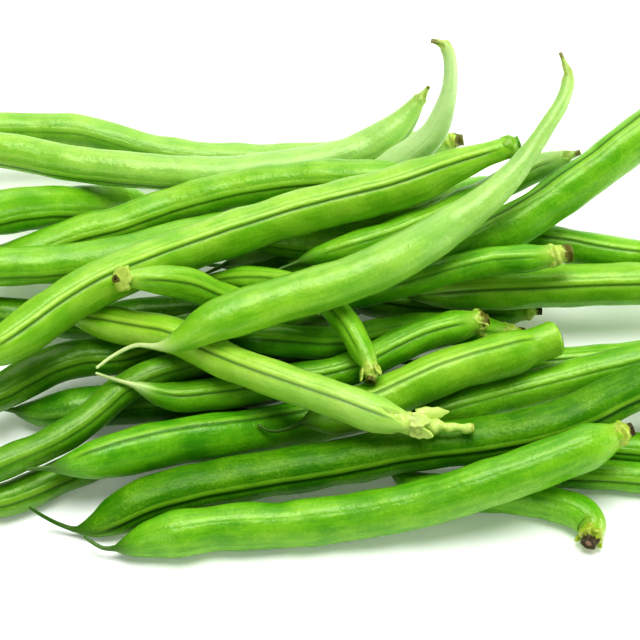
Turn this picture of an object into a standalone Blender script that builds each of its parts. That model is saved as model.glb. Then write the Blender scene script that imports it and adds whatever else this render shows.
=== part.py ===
"""Green bean bundle: thirty-three whole snap-bean pods lying in a loose, untied heap.

Each pod grew as one piece and is one closed body: a slightly flattened tube with a raised seam
and soft seed swellings, a collared stem end with a short stalk, and a thin curved tail.
The paths in PODS are rough. They are drawn together, then the pods sink onto each other and are
pushed apart until no two overlap, so each bends round its neighbours as a limp pod does.
Lengths are in millimetres until the meshes are finished, and then in metres.
X runs along the heap to the right, Y to the back and Z up. The heap lies on Z = 0, and the
origin is under the middle of its bounding box.
"""
import math
from collections import namedtuple

import bmesh
import bpy
import numpy as np
from mathutils import Matrix, Vector

MILLIMETRE = 0.001

# How finely a pod is drawn.
SIDES = 10
LINKS = 26
TAIL_RINGS = 4

# The paths below are drawn together towards the middle of the heap by these shares.
DEPTH_DRAW = 0.77
DEPTH_LEAN = 0.19
MIDDLE_HEIGHT = 20.0

# Clearance between pods, and how deep a pod on the floor is pressed flat against it.
POD_GAP = 0.32
FLOOR_PRESS = 0.55

# The pod's section: across the seams it is a little fuller than through its sides.
SIDE_FLATNESS = 0.93
SEAM_RISE = 0.055
SEED_SWELL = 0.022
SEED_SPACING = 13.0

# Stem end: the collar and its stalk, as shares of the neck's half thickness.
COLLAR_SHARE = 1.08
COLLAR_LENGTH = 1.8
STALK_LEAST = 0.6

# Shoulders longer than this swell slowly at first, like a neck.
LONG_SHOULDER = 20.0

# A torn flap stands up from the middle of any stalk longer than this.
TORN_FROM = 8.0
TORN_RISE = 1.5

# Tail end.
TAIL_RADIUS = 0.72
TIP_RADIUS = 0.42

# Settling of the heap.
SETTLE_ROUNDS = 700
SINK_STEP = 0.06
SINK_WAY = (0.0, 0.7071, -0.7071)
HOLD_ALONG = 0.005
HOLD_ACROSS = 0.06
SMOOTHING = 0.35

# name; half thickness; seam's turn in degrees (0 faces the front, 90 faces up); neck's share of the
# half thickness; cut stalk's share of the neck; stalk, shoulder, taper and tail lengths; path from
# the stem end to the tail end.
Pod = namedtuple("Pod", "name half seam neck cut stalk shoulder taper tail path")

PODS = (
    Pod("pod_front_long", 4.9, 72, 0.50, 0.6, 1.5, 8, 13, 7, (
        (61, -36, 18), (38, -45, 13), (20, -49, 9), (-4, -51, 6), (-22, -51, 5), (-34, -53, 4),
        (-41, -55, 3), (-46, -52, 4))),
    Pod("pod_front_second", 4.9, 25, 0.50, 0.6, 2.4, 8, 15, 11, (
        (73, -14, 17), (62, -22, 17), (46, -32, 15), (30, -34, 12.5), (15, -34.5, 11.2), (-4, -34.5, 9.3),
        (-23, -36, 8), (-36, -40, 6), (-42, -44, 4), (-47, -46, 3), (-51, -45, 3), (-54, -45, 5),
        (-57, -46, 8))),
    Pod("pod_cut_stub", 3.7, 72, 0.60, 0.7, 1.2, 5, 12, 5, (
        (52, -55, 4), (53, -48, 4), (46, -41, 4), (31, -35, 4), (20, -30, 4), (10, -23, 4))),
    Pod("pod_floor_right", 3.3, 36, 0.50, 0.6, 2.4, 8, 13, 6, (
        (84, -35, 4), (72, -33, 4), (52, -30, 4), (43, -29, 4), (30, -24, 4))),
    Pod("pod_floor_inner", 3.6, 36, 0.50, 0.6, 2.4, 8, 13, 6, (
        (86, -27, 4), (73, -25, 4), (58, -22, 4), (38, -20, 4), (18, -18, 4))),
    Pod("pod_short_pointed", 3.6, 60, 0.70, 0.5, 1.0, 6, 15, 8, (
        (34, -1, 21), (19, -6, 20), (5, -14, 18), (-15, -17, 15), (-23, -19, 15), (-31, -21, 16),
        (-36, -21, 18), (-41, -20, 19), (-45, -19, 20))),
    Pod("pod_ragged_stem", 3.9, 60, 0.55, 0.5, 11.0, 8, 13, 6, (
        (30, -37, 18), (17, -38, 20), (0, -31, 22), (-14, -25, 24), (-27, -16, 24), (-46, -6, 24),
        (-58, 0, 25))),
    Pod("pod_short_hooked", 4.7, 80, 0.62, 0.7, 1.0, 8, 9, 10, (
        (48, -6, 19), (40, -10, 18), (23, -18, 17), (4, -26, 15), (-5, -29, 14), (-9, -32, 14),
        (-13, -31, 15))),
    Pod("pod_top_crossing", 4.6, -16, 0.30, 0.6, 5.0, 58, 20, 14, (
        (49, 43, 57), (50.5, 39, 55), (49.5, 32, 53), (46, 26, 50), (41.5, 20, 46), (36, 13, 43),
        (26, 5, 39), (16, -5, 38), (7, -10, 36), (-12, -17, 33), (-23, -22, 31), (-29, -25, 29),
        (-36, -23, 28), (-42, -25, 26), (-44, -28, 26))),
    Pod("pod_top_long", 4.9, 63, 0.50, 0.7, 1.2, 22, 13, 6, (
        (41, 34, 41), (31, 31, 39), (16, 25, 36), (-4, 18, 34), (-24, 8, 32), (-38, -2, 31),
        (-52, -13, 29), (-62, -23, 28), (-74, -32, 28))),
    Pod("pod_upper_left", 4.3, 35, 0.50, 0.6, 2.4, 8, 13, 7, (
        (-84, 11, 22), (-63, 19, 23), (-52, 26, 24), (-42, 29, 25), (-32, 34, 26), (-20, 37, 28),
        (-4, 38, 30), (12, 37, 31), (28, 40, 31))),
    Pod("pod_under_top", 4.2, 20, 0.50, 0.6, 2.4, 8, 13, 7, (
        (-82, 12, 25), (-63, 13, 25), (-52, 14, 25), (-42, 15, 26), (-32, 18, 27), (-20, 23, 27),
        (2, 19, 27), (12, 23, 27), (21, 29.5, 27), (30, 37, 26.5), (38, 43.5, 25.5), (46, 50, 24))),
    Pod("pod_left_inner", 3.7, 36, 0.50, 0.6, 2.4, 8, 13, 7, (
        (-83, 9, 17), (-62, 9, 15.5), (-50, 9.5, 13.5), (-40, 14, 12.5), (-30, 18, 11.5),
        (-5, 28, 6.5), (20, 38, 5))),
    Pod("pod_left_stub", 4.9, 30, 0.50, 0.6, 2.4, 8, 13, 7, (
        (-84, 4, 34), (-70, 22, 30), (-61, 32, 26), (-51, 43, 20), (-44, 54, 14), (-37, 62, 9),
        (-28, 68, 5))),
    Pod("pod_back_bowed", 3.9, 0, 0.35, 0.7, 1.6, 14, 13, 8, (
        (23, 61, 39), (21, 60, 37), (19, 58, 34), (15, 56, 31), (7, 52, 28), (-4, 49, 27),
        (-22, 45, 27), (-37, 45, 28), (-52, 48, 28), (-65, 53, 28), (-78, 56, 28), (-90, 58, 28))),
    Pod("pod_back_far", 3.9, 40, 0.50, 0.7, 1.6, 10, 13, 8, (
        (31, 75, 18), (26, 75, 17), (17, 74, 16), (0, 72, 15), (-22, 70, 16), (-36, 70, 18),
        (-51, 73, 21), (-58, 74, 21), (-65, 74, 21), (-80, 72, 22), (-91, 70, 23))),
    Pod("pod_standing", 4.2, 60, 0.34, 0.8, 1.6, 36, 13, 6, (
        (23, 57, 52), (25, 57, 52), (27, 54, 49), (27, 51, 45.5), (26, 48, 42),
        (24.5, 46, 38), (21, 45, 34), (14, 44, 28), (4, 42, 20), (-8, 40, 12), (-24, 38, 5))),
    Pod("pod_upper_right", 4.7, 90, 0.50, 0.6, 2.4, 8, 13, 7, (
        (82, 55, 43), (73, 47, 41), (65, 39, 39), (55, 31, 35), (50, 28, 33), (44, 23, 31),
        (36, 18, 29), (27, 14, 27), (16, 11, 25))),
    Pod("pod_small_stem", 3.1, 60, 0.76, 0.85, 3.0, 6, 13, 6, (
        (51, 8, 31), (43, 6, 31), (35, 5, 31), (23, 3, 29), (12, 2, 26), (0, 4, 23),
        (-14, 8, 21))),
    Pod("pod_right_inner", 3.9, 70, 0.50, 0.6, 2.4, 8, 13, 6, (
        (76, 22, 20), (63, 22, 21), (53, 24, 22), (45, 25, 23), (28, 26, 20), (10, 32, 14),
        (-8, 41, 8), (-26, 47, 5))),
    Pod("pod_right_level", 4.7, 50, 0.50, 0.6, 2.4, 8, 16, 7, (
        (88, 21, 16), (76, 20, 17), (63, 18, 18), (49, 16, 18), (35, 14, 18), (22, 14, 17),
        (10, 14, 16))),
    Pod("pod_right_shaded", 3.9, 50, 0.50, 0.6, 2.0, 8, 13, 7, (
        (46, 20, 10), (38, 19, 10), (26, 22, 9), (8, 24, 8), (-14, 30, 7), (-26, 34, 6))),
    Pod("pod_floor_back", 3.8, 72, 0.50, 0.6, 2.4, 8, 13, 7, (
        (86, 15, 4), (78, 13, 4), (63, 10, 4), (48, 8, 4), (28, 8, 4), (12, 10, 4))),
    Pod("pod_right_middle", 4.3, 60, 0.50, 0.6, 2.4, 8, 13, 7, (
        (80, 1, 15), (63, -7, 14), (54, -9, 13), (45, -11, 12), (35, -13, 11), (22, -18, 11),
        (10, -22, 11))),
    Pod("pod_left_broad", 4.8, 85, 0.50, 0.6, 2.4, 8, 16, 5, (
        (34, -7, 8), (18, -12, 8), (3, -16, 8), (-19, -23, 8), (-40, -33, 9), (-52, -38, 10),
        (-58, -40, 11))),
    Pod("pod_floor_left", 3.8, 36, 0.50, 0.6, 2.4, 8, 13, 6, (
        (-74, -39, 4), (-60, -34, 4), (-50, -28, 4), (-38, -22, 4), (-22, -14, 4), (-4, -8, 4))),
    Pod("pod_left_rising", 3.4, 40, 0.50, 0.6, 2.4, 8, 13, 6, (
        (-74, -46, 6), (-60, -37, 8), (-51, -30, 9), (-44, -23, 11), (-38, -15, 12),
        (-28, -8, 11), (-14, -2, 11), (2, 1, 11))),
    Pod("pod_left_pointed", 4.6, 36, 0.50, 0.6, 2.4, 8, 13, 5, (
        (16, 16, 9), (0, 10, 5), (-22, 3, 5), (-44, -4, 5), (-55, -7, 5), (-67, -8, 6))),
    Pod("pod_left_tucked", 4.2, 35, 0.50, 0.6, 2.4, 8, 13, 6, (
        (-74, -29.5, 17), (-62, -22, 16.5), (-55, -14.5, 16.5), (-47, -10, 17), (-41, -9, 17),
        (-28, -1, 17), (-12, 5, 17), (2, 10, 16))),
    Pod("pod_small_calyx", 2.8, 60, 0.60, 0.7, 1.6, 6, 13, 6, (
        (10, -27, 20), (10, -24, 22), (7, -17, 26), (3, -10, 29), (-8, 0, 29), (-20, 5, 26),
        (-32, 8, 22))),
    Pod("pod_inner_shaded", 3.6, 50, 0.50, 0.6, 2.4, 8, 13, 7, (
        (42, 4, 14), (34, 3, 15), (18, 0, 17), (3, -8, 18), (-10, -10, 20), (-26, -7, 20))),
    Pod("pod_behind_top", 3.1, 60, 0.55, 0.8, 2.0, 6, 13, 7, (
        (54, 41, 35), (44, 37, 33), (36, 33, 31), (24, 24, 30), (12, 17, 29), (-2, 11, 28),
        (-11, 6, 27))),
    Pod("pod_facing_stem", 3.4, 60, 0.45, 0.5, 0.8, 9, 13, 6, (
        (-41, -11, 37), (-33, -8, 35), (-26, -7, 33), (-20, -7, 30), (-12, -6, 26), (-5, -3, 24),
        (6, -1, 21))),
)


def drawn_together(path):
    """The path's points, with the heap's depth drawn in and leaned with height."""
    points = np.array(path, float)
    points[:, 1] = DEPTH_DRAW * points[:, 1] + DEPTH_LEAN * (points[:, 2] - MIDDLE_HEIGHT)
    return points


def curve_through(points, samples):
    """A smooth curve through the points, resampled at equal steps along its length."""
    points = np.array(points, float)
    chords = np.linalg.norm(np.diff(points, axis=0), axis=1)
    knots = np.concatenate([[0.0], np.cumsum(np.sqrt(chords))])
    slopes = np.gradient(points, knots, axis=0)
    fine = []
    for i in range(len(points) - 1):
        span = knots[i + 1] - knots[i]
        t = np.linspace(0.0, 1.0, 40, endpoint=False)[:, None]
        start = (2 * t**3 - 3 * t**2 + 1) * points[i]
        start_slope = (t**3 - 2 * t**2 + t) * span * slopes[i]
        end = (3 * t**2 - 2 * t**3) * points[i + 1]
        end_slope = (t**3 - t**2) * span * slopes[i + 1]
        fine.append(start + start_slope + end + end_slope)
    fine = np.vstack(fine + [points[-1:]])
    return resampled(fine, samples)


def resampled(points, samples):
    steps = np.linalg.norm(np.diff(points, axis=0), axis=1)
    along = np.concatenate([[0.0], np.cumsum(steps)])
    wanted = np.linspace(0.0, along[-1], samples)
    return np.stack([np.interp(wanted, along, points[:, k]) for k in range(3)], axis=1)


def half_thickness(pod, along, length):
    """Half thickness of the pod at a distance from its stem end, seed swellings left out."""
    neck_at = pod.stalk + COLLAR_LENGTH
    neck = pod.neck * pod.half
    cut = max(STALK_LEAST, pod.cut * neck)
    stem = np.where(along < pod.stalk, cut, COLLAR_SHARE * neck)
    shoulder = np.clip((along - neck_at) / pod.shoulder, 0.0, 1.0)
    rise = np.sin(0.5 * np.pi * shoulder)
    if pod.shoulder > LONG_SHOULDER:
        rise = rise**2
    body = neck + (pod.half - neck) * rise
    left = length - pod.tail - along
    taper = np.clip(left / pod.taper, 0.0, 1.0)
    body = TAIL_RADIUS + (body - TAIL_RADIUS) * (1.0 - (1.0 - taper) ** 2)
    tail = np.clip(-left / pod.tail, 0.0, 1.0)
    body = np.where(left < 0.0, TAIL_RADIUS + (TIP_RADIUS - TAIL_RADIUS) * tail, body)
    return np.where(along < neck_at, stem, body)


def nearest_between(p1, q1, p2, q2):
    """Closest points of paired segments, as shares along each."""
    d1 = q1 - p1
    d2 = q2 - p2
    r = p1 - p2
    a = np.einsum("ij,ij->i", d1, d1)
    e = np.einsum("ij,ij->i", d2, d2)
    f = np.einsum("ij,ij->i", d2, r)
    c = np.einsum("ij,ij->i", d1, r)
    b = np.einsum("ij,ij->i", d1, d2)
    spread = np.maximum(a * e - b * b, 1e-9)
    s = np.clip((b * f - c * e) / spread, 0.0, 1.0)
    t = np.clip((b * s + f) / e, 0.0, 1.0)
    s = np.clip((b * t - c) / a, 0.0, 1.0)
    return s, t


def settle(chains, radii):
    """Move the pods apart until none overlaps another, and let them sink onto each other."""
    count, stations = radii.shape
    aims = chains.copy()
    owner = np.repeat(np.arange(count), stations - 1)
    first = (np.arange(count)[:, None] * stations + np.arange(stations - 1)).ravel()
    left, right = np.triu_indices(len(first), 1)
    apart = owner[left] != owner[right]
    left = left[apart]
    right = right[apart]
    flat_radii = radii.ravel()
    flat = chains.reshape(-1, 3).copy()
    flat_aims = aims.reshape(-1, 3)
    reach = np.linalg.norm(flat[first + 1] - flat[first], axis=1)
    sink_way = np.array(SINK_WAY)
    for turn in range(SETTLE_ROUNDS):
        if turn % 15 == 0:
            middle = 0.5 * (flat[first] + flat[first + 1])
            gap = np.linalg.norm(middle[left] - middle[right], axis=1)
            limit = 0.5 * (reach[left] + reach[right])
            limit += flat_radii[first[left]] + flat_radii[first[right]] + 3.0
            near = gap < limit
            a = first[left[near]]
            b = first[right[near]]
        finishing = turn > 0.75 * SETTLE_ROUNDS
        if not finishing:
            away = flat_aims - flat
            along_way = np.outer(away @ sink_way, sink_way)
            flat += HOLD_ALONG * along_way + HOLD_ACROSS * (away - along_way)
            flat += SINK_STEP * sink_way
        s, t = nearest_between(flat[a], flat[a + 1], flat[b], flat[b + 1])
        s = s[:, None]
        t = t[:, None]
        between = (flat[a] * (1 - s) + flat[a + 1] * s) - (flat[b] * (1 - t) + flat[b + 1] * t)
        distance = np.maximum(np.linalg.norm(between, axis=1), 1e-6)
        s = s[:, 0]
        t = t[:, 0]
        wide = flat_radii[a] * (1 - s) + flat_radii[a + 1] * s
        wide = wide + flat_radii[b] * (1 - t) + flat_radii[b + 1] * t
        short = np.clip(wide + POD_GAP - distance, 0.0, 1.5)
        push = between / distance[:, None] * (0.5 * short)[:, None]
        moves = np.zeros_like(flat)
        weights = np.full(len(flat), 1e-6)
        for index, share, sign in ((a, 1 - s, 1), (a + 1, s, 1), (b, 1 - t, -1), (b + 1, t, -1)):
            np.add.at(moves, index, sign * push * share[:, None])
            np.add.at(weights, index, share * (short > 0))
        moves = moves / np.maximum(weights, 1.0)[:, None]
        flat += 1.3 * moves
        shift = (flat - flat_aims).reshape(count, stations, 3)
        middle = 0.5 * (shift[:, :-2] + shift[:, 2:])
        amount = SMOOTHING if not finishing else 0.12
        shift[:, 1:-1] += amount * (middle - shift[:, 1:-1])
        shift[:, 0] += 0.5 * amount * (shift[:, 1] - shift[:, 0])
        shift[:, -1] += 0.5 * amount * (shift[:, -2] - shift[:, -1])
        flat = (aims + shift).reshape(-1, 3)
        below = np.clip(flat_radii - FLOOR_PRESS - flat[:, 2], 0.0, None)
        flat += np.outer(below / sink_way[2], sink_way)
    return flat.reshape(count, stations, 3)


def heap():
    """Settled centre lines of all pods, each with its half thickness at every station."""
    chains = np.array([curve_through(drawn_together(pod.path), LINKS) for pod in PODS])
    radii = []
    for pod, chain in zip(PODS, chains):
        steps = np.linalg.norm(np.diff(chain, axis=0), axis=1)
        along = np.concatenate([[0.0], np.cumsum(steps)])
        radii.append(half_thickness(pod, along, along[-1]) * (1.0 + 0.5 * SEED_SWELL))
    return settle(chains, np.array(radii))


def station_distances(pod, length):
    """Distances from the stem end at which a ring of the pod's skin is placed."""
    neck = pod.stalk + COLLAR_LENGTH
    ends = [0.0, pod.stalk - 0.35, pod.stalk + 0.15, neck - 0.3, neck + 0.6]
    if pod.stalk > 4.0:
        ends.insert(1, 0.5 * pod.stalk)
    shoulder_rings = max(2, round(pod.shoulder / 5.5))
    shoulder = neck + pod.shoulder * (np.arange(shoulder_rings) + 0.7) / shoulder_rings
    taper_at = length - pod.tail - pod.taper
    body_rings = max(4, round((taper_at - shoulder[-1]) / (0.5 * SEED_SPACING)))
    body = np.linspace(shoulder[-1], taper_at, body_rings + 1)[1:]
    taper = taper_at + pod.taper * np.array([0.45, 0.75, 0.92, 1.0])
    tail = np.linspace(length - pod.tail, length, TAIL_RINGS)[1:]
    return np.concatenate([ends, shoulder, body, taper, tail])


def frames_along(points, seam_turn):
    """Directions across a centre line at each point: towards the seam, and square to it."""
    tangents = np.gradient(points, axis=0)
    tangents /= np.linalg.norm(tangents, axis=1)[:, None]
    turn = math.radians(seam_turn)
    wanted = Vector((0.0, -math.cos(turn), math.sin(turn)))
    middle = len(points) // 2
    seams = [None] * len(points)
    for order in (range(middle, len(points)), range(middle, -1, -1)):
        held = wanted
        for i in order:
            tangent = Vector(tangents[i])
            held = (held - tangent * held.dot(tangent)).normalized()
            seams[i] = held
    sides = [Vector(tangents[i]).cross(seams[i]) for i in range(len(points))]
    return seams, sides


def build_pod(pod, chain):
    """Loft one pod as a closed mesh around its settled centre line, in millimetres."""
    fine = curve_through(chain, 400)
    steps = np.linalg.norm(np.diff(fine, axis=0), axis=1)
    along = np.concatenate([[0.0], np.cumsum(steps)])
    length = along[-1]
    distances = station_distances(pod, length)
    points = np.stack([np.interp(distances, along, fine[:, k]) for k in range(3)], axis=1)
    radii = half_thickness(pod, distances, length)
    phase = 2.0 * np.pi * distances / SEED_SPACING
    shoulder_at = pod.stalk + COLLAR_LENGTH + pod.shoulder
    inside = (distances > shoulder_at) & (distances < length - pod.tail - 6.0)
    radii = radii * (1.0 + SEED_SWELL * np.cos(phase) * inside)
    seams, sides = frames_along(points, pod.seam)

    mesh = bpy.data.meshes.new(pod.name)
    shape = bmesh.new()
    rings = []
    for place, (point, radius, seam, side) in enumerate(zip(points, radii, seams, sides)):
        ring = []
        for k in range(SIDES):
            angle = 2.0 * math.pi * k / SIDES
            rise = 0.0
            if k == 0 and radius > 1.5:
                rise = SEAM_RISE
            if k in (SIDES - 1, 0) and pod.stalk > TORN_FROM and place == 1:
                rise = TORN_RISE
            across = radius * (1.0 + rise) * math.cos(angle)
            through = radius * SIDE_FLATNESS * math.sin(angle)
            spot = Vector(point) + seam * across + side * through
            spot.z = max(spot.z, 0.0)
            ring.append(shape.verts.new(spot))
        rings.append(ring)
    for near, far in zip(rings, rings[1:]):
        for k in range(SIDES):
            j = (k + 1) % SIDES
            shape.faces.new((near[k], near[j], far[j], far[k]))
    shape.faces.new(list(reversed(rings[0])))
    shape.faces.new(rings[-1])
    bmesh.ops.triangulate(shape, faces=shape.faces[:])
    bmesh.ops.recalc_face_normals(shape, faces=shape.faces[:])
    shape.to_mesh(mesh)
    shape.free()
    return mesh


SKINS = {
    "fresh": (0.30, 0.52, 0.08, 1.0),
    "deep": (0.16, 0.36, 0.05, 1.0),
}
DEEP_PODS = ("pod_left_rising", "pod_left_pointed", "pod_left_tucked", "pod_right_shaded",
             "pod_inner_shaded", "pod_left_stub", "pod_floor_left")


def skin_material(pod):
    material = bpy.data.materials.new(pod.name)
    material.use_nodes = True
    shader = material.node_tree.nodes["Principled BSDF"]
    colour = SKINS["deep" if pod.name in DEEP_PODS else "fresh"]
    shader.inputs["Base Color"].default_value = colour
    shader.inputs["Roughness"].default_value = 0.42
    return material


def main():
    for item in list(bpy.data.objects):
        bpy.data.objects.remove(item, do_unlink=True)
    meshes = [build_pod(pod, chain) for pod, chain in zip(PODS, heap())]
    spots = np.array([vert.co[:] for mesh in meshes for vert in mesh.vertices])
    middle = 0.5 * (spots.min(axis=0) + spots.max(axis=0))
    centring = Matrix.Translation((-middle[0], -middle[1], 0.0))
    for pod, mesh in zip(PODS, meshes):
        mesh.transform(Matrix.Scale(MILLIMETRE, 4) @ centring)
        piece = bpy.data.objects.new(pod.name, mesh)
        bpy.context.scene.collection.objects.link(piece)
        mesh.materials.append(skin_material(pod))
        bpy.ops.object.select_all(action="DESELECT")
        piece.select_set(True)
        bpy.context.view_layer.objects.active = piece
        bpy.ops.object.shade_smooth()
        mesh.set_sharp_from_angle(angle=math.radians(45.0))


if __name__ == "__main__":
    main()
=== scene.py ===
"""Looks for the green bean bundle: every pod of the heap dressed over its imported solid.

Each pod's centre line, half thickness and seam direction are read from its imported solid, and a
finer skin is drawn round them, with the seam strip, the seed swellings, the lobed calyx, the dried
stem cut and the thread-like tail. Lengths inside the classes are in millimetres, and angles round
a pod are in radians from its seam, where nothing else is said.
"""
import logging
import math
from dataclasses import dataclass, field
from enum import Enum
from typing import Dict, List, Optional, Sequence, Set, Tuple

import bmesh
import bpy
import numpy as np
from mathutils import Matrix, Quaternion, Vector


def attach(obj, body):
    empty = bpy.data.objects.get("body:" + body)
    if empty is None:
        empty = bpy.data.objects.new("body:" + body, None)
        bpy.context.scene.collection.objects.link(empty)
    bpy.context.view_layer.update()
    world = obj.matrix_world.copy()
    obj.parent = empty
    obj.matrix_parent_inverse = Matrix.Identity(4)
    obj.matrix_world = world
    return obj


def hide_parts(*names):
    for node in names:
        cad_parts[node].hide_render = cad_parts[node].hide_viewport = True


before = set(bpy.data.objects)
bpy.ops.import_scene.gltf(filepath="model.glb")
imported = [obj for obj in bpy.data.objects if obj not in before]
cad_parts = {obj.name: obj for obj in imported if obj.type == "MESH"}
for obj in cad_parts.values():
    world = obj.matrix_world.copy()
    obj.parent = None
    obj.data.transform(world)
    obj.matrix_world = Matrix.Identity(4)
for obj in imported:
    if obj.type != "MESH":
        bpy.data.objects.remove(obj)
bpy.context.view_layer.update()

log = logging.getLogger("green_beans")

Colour = Tuple[float, float, float]
Place = Tuple[float, float, float]
Socket = bpy.types.NodeSocket

MILLIMETRE = 0.001
MERGE_REACH = 2e-6
SIDE_FLATNESS = 0.93
BLACK: Colour = (0.0, 0.0, 0.0)


class StemEnd(Enum):
    """How a pod ends at its stem."""

    CUT = "cut"
    PALE = "pale"
    WITHERED = "withered"
    GREEN = "green"
    RAGGED = "ragged"
    BLUNT = "blunt"


class Skin(Enum):
    """The record's two material slots."""

    FRESH = "fresh_skin"
    # The deep slot's pods lie in the heap's shade: darker greens are mixed into their colour as
    # painted shade.
    DEEP = "deep_skin"


class LampKind(Enum):
    """Even light over the whole floor, or a near panel."""

    SUN = "SUN"
    PANEL = "AREA"


@dataclass(frozen=True)
class Sepal:
    """One pointed blade of the calyx, or a torn piece of it.

    Attributes:
        at: how far its foot is from the stem end.
        turn: its angle round the pod, in degrees from the seam.
        length: how long it is.
        width: how wide it is.
        lean: how far it leans out from the pod, in degrees.
        on_edge: whether it stands on its edge, as a fin.
    """

    at: float
    turn: float
    length: float
    width: float
    lean: float
    on_edge: bool = False


@dataclass(frozen=True)
class Wave:
    """A sine wave over a pod's skin.

    Attributes:
        height: how high it is.
        along: its angle for each millimetre along the pod, in radians.
        turns: how many times it goes round the pod.
        start: where it starts, in radians.
        by_tone: how far the pod's tone moves it, in radians, so that no two pods wave alike.
    """

    height: float
    along: float = 0.0
    turns: float = 0.0
    start: float = 0.0
    by_tone: float = 0.0

    def over(self, along: np.ndarray, turn: np.ndarray, tone: float = 0.0) -> np.ndarray:
        """Read the wave.

        Args:
            along: distances from the stem end.
            turn: angles from the seam.
            tone: the pod's tone.

        Returns:
            The wave's height at each point.
        """
        angle = self.along * along + self.turns * turn + (self.start + self.by_tone * tone)
        return self.height * np.sin(angle)


@dataclass(frozen=True)
class Relief:
    """Sizes of the fine relief that every pod's skin has.

    Attributes:
        strip_half: half width of the seam strip.
        strip_edge: width of the strip's soft edge.
        strip_rise: how far the strip stands out.
        line_at: distance of the two sunk lines from the seam.
        line_half: half width of a sunk line.
        line_spread: how much wider the lower line of a grooved pod is.
        line_depth: how deep the sunk lines are.
        upper_line: how strong the upper line is beside the lower one.
        bank_at: distance of the swollen banks from the seam.
        bank_half: half width of a bank.
        bank_rise: how far the banks stand out.
        back_half: half width of the line along the pod's back.
        back_depth: how deep the line along the back is.
        back_share: how strongly the line along the back is coloured.
        plain_share: how much of the relief a pod without grooves keeps.
        seed_step: distance from one seed to the next.
        seed_shift: how far the pod's tone moves the seeds, in radians.
        seed_turn: where the seeds swell the pod's flanks.
        seed_half: half width of a seed's swelling, in radians.
        rises: how far past the neck the relief is full.
        falls: how far before the tail the relief starts to end, and ends.
        waves: slow waves of the whole skin.
    """

    strip_half: float = 0.50
    strip_edge: float = 0.3
    strip_rise: float = 0.09
    line_at: float = 0.78
    line_half: float = 0.24
    line_spread: float = 0.16
    line_depth: float = 0.17
    upper_line: float = 0.15
    bank_at: float = 2.0
    bank_half: float = 0.8
    bank_rise: float = 0.06
    back_half: float = 0.22
    back_depth: float = 0.09
    back_share: float = 0.55
    plain_share: float = 0.2
    seed_step: float = 12.0
    seed_shift: float = 9.0
    seed_turn: float = 1.25
    seed_half: float = 0.65
    rises: float = 5.0
    falls: Tuple[float, float] = (9.0, 1.0)
    waves: Tuple[Wave, ...] = (
        Wave(0.05, along=0.37, turns=2.0, by_tone=30.0),
        Wave(0.04, along=0.83, turns=-3.0, by_tone=17.0),
    )


@dataclass(frozen=True)
class StemShape:
    """Sizes of the collar and of the kinds of stem end.

    Attributes:
        lobes: how many lobes the collar's edge has.
        lobe_power: how pointed the gaps between the lobes are.
        lobe_length: how long the lobes of a full pod are.
        full_neck: the half thickness of a pod with full lobes.
        set_back: how far the gaps between the lobes lie before the collar's end.
        edge_step: where the collar's thickness goes over into the body's, from the edge.
        fade: how far past the edge the body takes on the collar's colour.
        torn_reach: how much farther a torn collar reaches.
        torn_edge: the waves of a torn collar's edge.
        flare: where the stalk widens into the collar, before and after the stalk's end.
        ribs: how many ribs the stalk has.
        rib_rise: how far they stand out, as a share of the stalk.
        stalk_waves: the waves of a cut stalk.
        withered_thin: how thin a withered end gets, as a share of the stalk.
        withered_wave: the wave of a withered end.
        blunt_length: how long the rounding of a blunt end is.
        blunt_face: how wide the flat of a blunt end is, as a share of the pod.
        blunt_wave: the wave of a blunt end.
        ragged_thin: how thin a ragged stalk is, as a share of the stalk.
        ragged_power: how suddenly a ragged stalk widens.
        knot_rise: how far the knots of a ragged stalk stand out, as a share of the stalk.
        knot_wave: the wave of a ragged stalk, beside its knots.
        knob_rise: how far the knob at a ragged stalk's cut stands out, as a share of the stalk.
        knob_at: where the knob is, and its half length.
    """

    lobes: int = 5
    lobe_power: float = 1.5
    lobe_length: float = 1.3
    full_neck: float = 2.0
    set_back: float = 0.5
    edge_step: Tuple[float, float] = (-0.15, 0.2)
    fade: float = 4.0
    torn_reach: float = 2.2
    torn_edge: Tuple[Wave, ...] = (Wave(1.5, turns=3.0, start=1.0), Wave(0.8, turns=7.0))
    flare: Tuple[float, float] = (0.9, 0.5)
    ribs: float = 5.0
    rib_rise: float = 0.05
    stalk_waves: Tuple[Wave, ...] = (
        Wave(0.05, along=2.3, turns=3.0),
        Wave(0.05, along=4.1, turns=-2.0),
    )
    withered_thin: float = 0.45
    withered_wave: Wave = Wave(0.10, along=1.7, turns=3.0)
    blunt_length: float = 1.1
    blunt_face: float = 0.70
    blunt_wave: Wave = Wave(0.04, turns=3.0, start=2.0)
    ragged_thin: float = 0.85
    ragged_power: float = 1.6
    knot_rise: float = 0.15
    knot_wave: Wave = Wave(0.09, along=2.3, turns=-2.0)
    knob_rise: float = 0.25
    knob_at: Tuple[float, float] = (0.8, 0.8)


def blend_colours(first: Colour, second: Colour, share: float) -> Colour:
    """Mix two colours.

    Args:
        first: colour at share 0.
        second: colour at share 1.
        share: how much of the second colour.

    Returns:
        The mixed colour.
    """
    return tuple(a + (b - a) * share for a, b in zip(first, second))


def smooth_step(values: np.ndarray, low: float, high: float) -> np.ndarray:
    """Rise smoothly from 0 at low to 1 at high.

    Args:
        values: where to read the step.
        low: where it starts.
        high: where it ends.

    Returns:
        The step's values.
    """
    share = np.clip((values - low) / (high - low), 0.0, 1.0)
    return share * share * (3.0 - 2.0 * share)


def bump(values: np.ndarray, middle: float, width: float) -> np.ndarray:
    """Read a soft bell round middle.

    Args:
        values: where to read the bell.
        middle: its centre.
        width: its half width.

    Returns:
        The bell's values, 1 at the middle.
    """
    return np.exp(-(((values - middle) / width) ** 2))


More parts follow.
